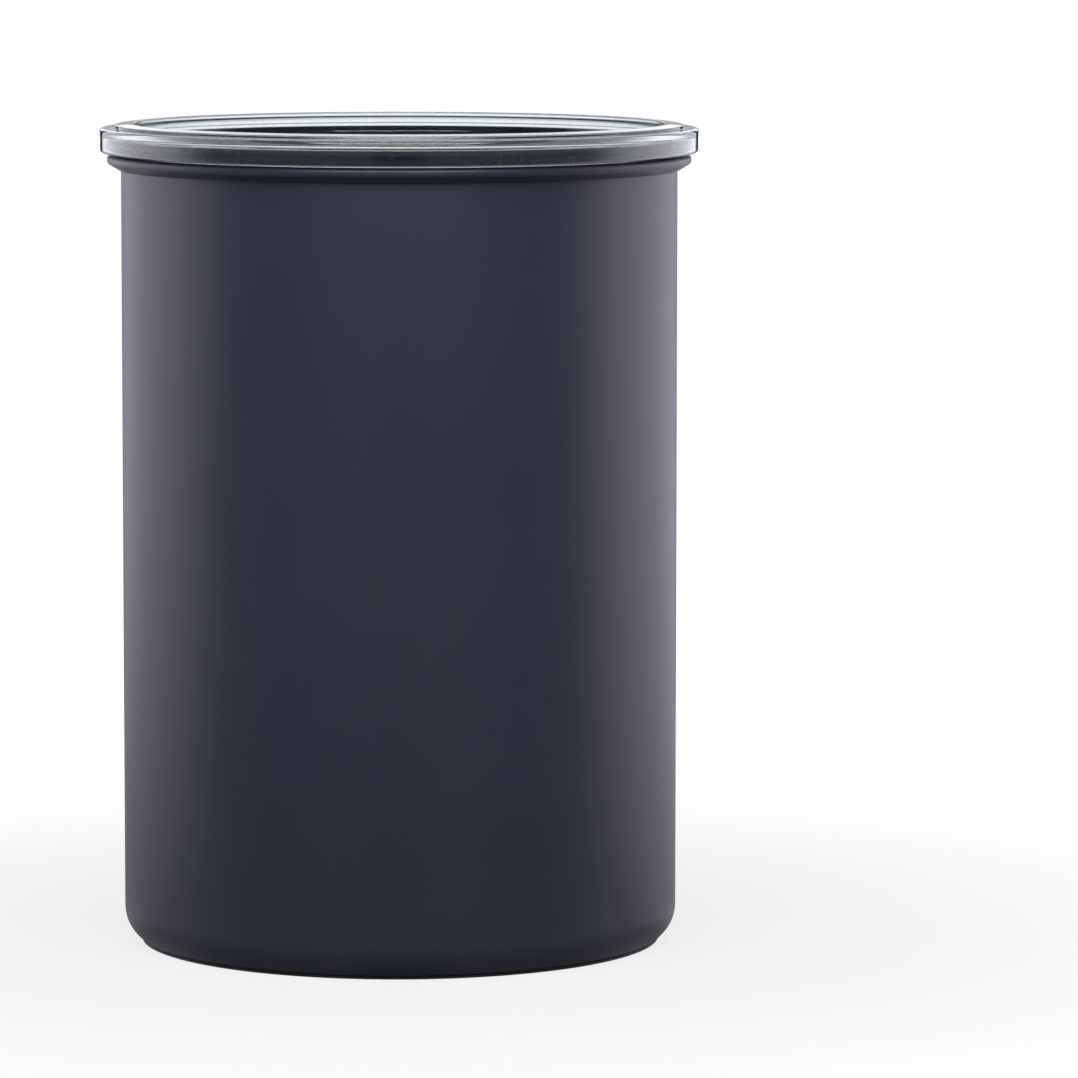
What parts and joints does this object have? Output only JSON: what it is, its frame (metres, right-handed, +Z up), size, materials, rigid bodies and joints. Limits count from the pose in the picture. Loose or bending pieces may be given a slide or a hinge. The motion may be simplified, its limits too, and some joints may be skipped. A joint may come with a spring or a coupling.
{
  "type": "coffee canister with valve",
  "caption": "Round steel coffee canister with a rolled rim, a smoked clear stacking lid and a press-down inner lid whose bail handle opens an air valve.",
  "frame": {"origin": "centre of the base, on the surface that the canister stands on", "axes": "+Z up along the canister's axis; -Y is the front; the inner lid's handle turns about +X and folds towards +Y"},
  "size_m": [0.13, 0.13, 0.1782],
  "materials": {
    "charcoal_coated_steel": "matte powder coat outside, brushed steel inside",
    "smoked_clear_plastic": "clear, smoke tinted, polished",
    "black_plastic": "fine moulded texture",
    "black_rubber": "dull black",
    "dark_silicone": "dark grey, smooth satin",
    "grey_silicone": "soft satin",
    "white_plastic": "satin",
    "bright_steel": "polished stainless wire"
  },
  "bodies": {
    "canister": {"canister_shell": "charcoal_coated_steel", "foot_pad": "black_rubber"},
    "outer_lid": {"outer_lid": "smoked_clear_plastic", "lid_seal": "dark_silicone"},
    "plunger": {"plunger_plate": "black_plastic", "plunger_seal": "grey_silicone", "valve_cover": "black_plastic", "valve_spring": "bright_steel"},
    "valve": {"valve_poppet": "white_plastic", "valve_seal": "grey_silicone"},
    "handle": {"bail_handle": "bright_steel", "cam_shaft": "black_plastic"}
  },
  "joints": [
    {"name": "outer_lid_lift", "type": "slide", "parent": "canister", "child": "outer_lid", "axis": [0, 0, 1], "range_m": [0, 0.06]},
    {"name": "plunger_slide", "type": "slide", "parent": "canister", "child": "plunger", "axis": [0, 0, 1], "range_m": [-0.102, 0]},
    {"name": "handle_flip", "type": "hinge", "parent": "plunger", "child": "handle", "pos_m": [0, 0, 0.1271], "axis": [1, 0, 0], "range_deg": [0, 99.21]},
    {"name": "valve_lift", "type": "slide", "parent": "plunger", "child": "valve", "axis": [0, 0, 1], "range_m": [0, 0.002], "deforming": ["valve_spring"]}
  ],
  "couplings": [
    {"joint": "valve_lift", "follows": "handle_flip", "m_per_rad": 0.0011551}
  ]
}
